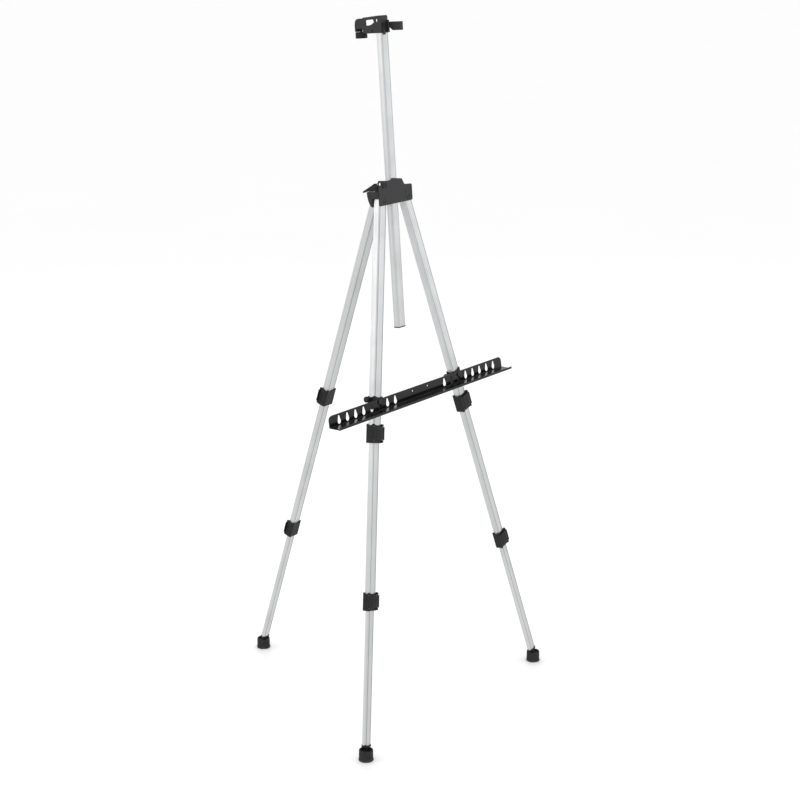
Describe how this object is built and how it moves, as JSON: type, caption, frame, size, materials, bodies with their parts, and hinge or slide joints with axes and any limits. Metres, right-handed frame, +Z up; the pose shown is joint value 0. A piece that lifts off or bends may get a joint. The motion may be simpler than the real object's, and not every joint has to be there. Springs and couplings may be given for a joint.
{
  "type": "telescoping tripod easel",
  "caption": "Folding aluminium tripod easel with telescoping legs, flip locks, sliding mast with canvas holder and a black slotted tray.",
  "frame": {"origin": "on the floor, at the centre of the footprint", "axes": "+Z up, +X along the tray to the painter's right, -Y towards the painter; the single leg is at the rear (+Y)"},
  "size_m": [0.745, 0.655, 1.6599],
  "materials": {
    "tube": "satin anodised",
    "plastic": "fine-textured moulded black",
    "tray_paint": "gloss black paint",
    "rubber": "matte",
    "steel": "zinc plated"
  },
  "bodies": {
    "head": {"head_front_cover": "plastic", "head_rear_shell": "plastic", "head_screws": "steel", "head_pins": "steel"},
    "left_leg_upper": {"leg_left_knuckle": "plastic", "leg_left_upper_tube": "tube", "leg_left_upper_collar": "plastic", "leg_left_upper_lock_pin": "steel"},
    "left_leg_upper_lever": {"leg_left_upper_lever": "plastic"},
    "left_leg_middle": {"leg_left_middle_tube": "tube", "leg_left_middle_guide": "plastic", "leg_left_lower_collar": "plastic", "leg_left_lower_lock_pin": "steel"},
    "left_leg_lower_lever": {"leg_left_lower_lever": "plastic"},
    "left_leg_lower": {"leg_left_lower_tube": "tube", "leg_left_lower_guide": "plastic", "leg_left_foot_socket": "plastic"},
    "left_leg_foot": {"leg_left_foot_pad": "rubber"},
    "right_leg_upper": {"leg_right_knuckle": "plastic", "leg_right_upper_tube": "tube", "leg_right_upper_collar": "plastic", "leg_right_upper_lock_pin": "steel"},
    "right_leg_upper_lever": {"leg_right_upper_lever": "plastic"},
    "right_leg_middle": {"leg_right_middle_tube": "tube", "leg_right_middle_guide": "plastic", "leg_right_lower_collar": "plastic", "leg_right_lower_lock_pin": "steel"},
    "right_leg_lower_lever": {"leg_right_lower_lever": "plastic"},
    "right_leg_lower": {"leg_right_lower_tube": "tube", "leg_right_lower_guide": "plastic", "leg_right_foot_socket": "plastic"},
    "right_leg_foot": {"leg_right_foot_pad": "rubber"},
    "rear_leg_upper": {"leg_rear_knuckle": "plastic", "leg_rear_upper_tube": "tube", "leg_rear_upper_collar": "plastic", "leg_rear_upper_lock_pin": "steel"},
    "rear_leg_upper_lever": {"leg_rear_upper_lever": "plastic"},
    "rear_leg_middle": {"leg_rear_middle_tube": "tube", "leg_rear_middle_guide": "plastic", "leg_rear_lower_collar": "plastic", "leg_rear_lower_lock_pin": "steel"},
    "rear_leg_lower_lever": {"leg_rear_lower_lever": "plastic"},
    "rear_leg_lower": {"leg_rear_lower_tube": "tube", "leg_rear_lower_guide": "plastic", "leg_rear_foot_socket": "plastic"},
    "rear_leg_foot": {"leg_rear_foot_pad": "rubber"},
    "mast_lock": {"mast_lock_lever": "plastic"},
    "mast": {"mast_tube": "tube", "mast_bottom_plug": "plastic", "holder_body": "plastic", "holder_pins": "steel"},
    "holder_hook": {"holder_hook": "plastic"},
    "holder_knob": {"holder_knob": "plastic"},
    "tray_clamp_left": {"tray_clamp_left": "plastic", "tray_screw_left": "steel"},
    "tray_knob_left": {"tray_knob_left": "plastic"},
    "tray_clamp_right": {"tray_clamp_right": "plastic"},
    "tray_knob_right": {"tray_knob_right": "plastic"},
    "tray": {"tray": "tray_paint", "tray_screw_right": "steel"}
  },
  "joints": [
    {"name": "left_leg_fold", "type": "hinge", "parent": "head", "child": "left_leg_upper", "pos_m": [-0.0455, -0.1192, 1.242], "axis": [0, -0.9881, 0.1538], "range_deg": [0, 14]},
    {"name": "left_leg_upper_lever_flip", "type": "hinge", "parent": "left_leg_upper", "child": "left_leg_upper_lever", "pos_m": [-0.1932, -0.21091, 0.72979], "axis": [-0.242, -0.1492, -0.9587], "range_deg": [0, 110]},
    {"name": "left_leg_lower_lever_flip", "type": "hinge", "parent": "left_leg_middle", "child": "left_leg_lower_lever", "pos_m": [-0.28546, -0.26728, 0.35715], "axis": [-0.242, -0.1492, -0.9587], "range_deg": [0, 110]},
    {"name": "left_leg_middle_slide", "type": "slide", "parent": "left_leg_upper", "child": "left_leg_middle", "axis": [0.242, 0.1492, 0.9587], "range_m": [0, 0.335]},
    {"name": "left_leg_lower_slide", "type": "slide", "parent": "left_leg_middle", "child": "left_leg_lower", "axis": [0.242, 0.1492, 0.9587], "range_m": [0, 0.3]},
    {"name": "left_leg_foot_swivel", "type": "hinge", "parent": "left_leg_lower", "child": "left_leg_foot", "pos_m": [-0.355, -0.31, 0.016], "axis": [0.5248, -0.8512, 0], "range_deg": [-18, 3]},
    {"name": "right_leg_fold", "type": "hinge", "parent": "head", "child": "right_leg_upper", "pos_m": [0.0455, -0.1192, 1.242], "axis": [0, 0.9881, -0.1538], "range_deg": [0, 14]},
    {"name": "right_leg_upper_lever_flip", "type": "hinge", "parent": "right_leg_upper", "child": "right_leg_upper_lever", "pos_m": [0.15943, -0.2122, 0.72147], "axis": [0.242, -0.1492, -0.9587], "range_deg": [0, 110]},
    {"name": "right_leg_lower_lever_flip", "type": "hinge", "parent": "right_leg_middle", "child": "right_leg_lower_lever", "pos_m": [0.25499, -0.26845, 0.34964], "axis": [0.242, -0.1492, -0.9587], "range_deg": [0, 110]},
    {"name": "right_leg_middle_slide", "type": "slide", "parent": "right_leg_upper", "child": "right_leg_middle", "axis": [-0.242, 0.1492, 0.9587], "range_m": [0, 0.335]},
    {"name": "right_leg_lower_slide", "type": "slide", "parent": "right_leg_middle", "child": "right_leg_lower", "axis": [-0.242, 0.1492, 0.9587], "range_m": [0, 0.3]},
    {"name": "right_leg_foot_swivel", "type": "hinge", "parent": "right_leg_lower", "child": "right_leg_foot", "pos_m": [0.355, -0.31, 0.016], "axis": [0.5248, 0.8512, 0], "range_deg": [-18, 3]},
    {"name": "rear_leg_fold", "type": "hinge", "parent": "head", "child": "rear_leg_upper", "pos_m": [0, -0.07566, 1.23419], "axis": [-1, 0, 0], "range_deg": [0, 21.7]},
    {"name": "rear_leg_upper_lever_flip", "type": "hinge", "parent": "rear_leg_upper", "child": "rear_leg_upper_lever", "pos_m": [0.0174, 0.0956, 0.73248], "axis": [0, 0.3018, -0.9534], "range_deg": [0, 110]},
    {"name": "rear_leg_lower_lever_flip", "type": "hinge", "parent": "rear_leg_middle", "child": "rear_leg_lower_lever", "pos_m": [0.0157, 0.21119, 0.36209], "axis": [0, 0.3018, -0.9534], "range_deg": [0, 110]},
    {"name": "rear_leg_middle_slide", "type": "slide", "parent": "rear_leg_upper", "child": "rear_leg_middle", "axis": [0, -0.3018, 0.9534], "range_m": [0, 0.335]},
    {"name": "rear_leg_lower_slide", "type": "slide", "parent": "rear_leg_middle", "child": "rear_leg_lower", "axis": [0, -0.3018, 0.9534], "range_m": [0, 0.3]},
    {"name": "rear_leg_foot_swivel", "type": "hinge", "parent": "rear_leg_lower", "child": "rear_leg_foot", "pos_m": [0, 0.31, 0.016], "axis": [-1, 0, 0], "range_deg": [-18, 3]},
    {"name": "mast_lock_flip", "type": "hinge", "parent": "head", "child": "mast_lock", "pos_m": [-0.0627, -0.11771, 1.27598], "axis": [1, 0, 0], "range_deg": [0, 75]},
    {"name": "mast_slide", "type": "slide", "parent": "head", "child": "mast", "axis": [0, 0.0732, 0.9973], "range_m": [-0.32, 0.27]},
    {"name": "holder_hook_swing", "type": "hinge", "parent": "mast", "child": "holder_hook", "pos_m": [0.011, -0.10099, 1.63472], "axis": [0, -0.0732, -0.9973], "range_deg": [0, 84]},
    {"name": "holder_knob_turn", "type": "hinge", "parent": "mast", "child": "holder_knob", "pos_m": [-0.001, -0.0316, 1.61559], "axis": [0, 0.0732, 0.9973], "range_deg": [-180, 180]},
    {"name": "tray_clamp_left_slide", "type": "slide", "parent": "left_leg_upper", "child": "tray_clamp_left", "axis": [0.242, 0.1492, 0.9587], "range_m": [0, 0.3]},
    {"name": "tray_knob_left_turn", "type": "hinge", "parent": "tray_clamp_left", "child": "tray_knob_left", "pos_m": [-0.17696, -0.18161, 0.80197], "axis": [0.9703, -0.0372, -0.2391], "range_deg": [-180, 180]},
    {"name": "tray_clamp_right_slide", "type": "slide", "parent": "right_leg_upper", "child": "tray_clamp_right", "axis": [-0.242, 0.1492, 0.9587], "range_m": [0, 0.3]},
    {"name": "tray_knob_right_turn", "type": "hinge", "parent": "tray_clamp_right", "child": "tray_knob_right", "pos_m": [0.13815, -0.1831, 0.7924], "axis": [0.9703, 0.0372, 0.2391], "range_deg": [-180, 180]},
    {"name": "tray_level", "type": "hinge", "parent": "tray_clamp_left", "child": "tray", "pos_m": [-0.15877, -0.20049, 0.7951], "axis": [0, -0.9881, 0.1538], "range_deg": [-14, 0]}
  ],
  "couplings": [
    {"joint": "tray_level", "follows": "left_leg_fold", "ratio": -1}
  ]
}
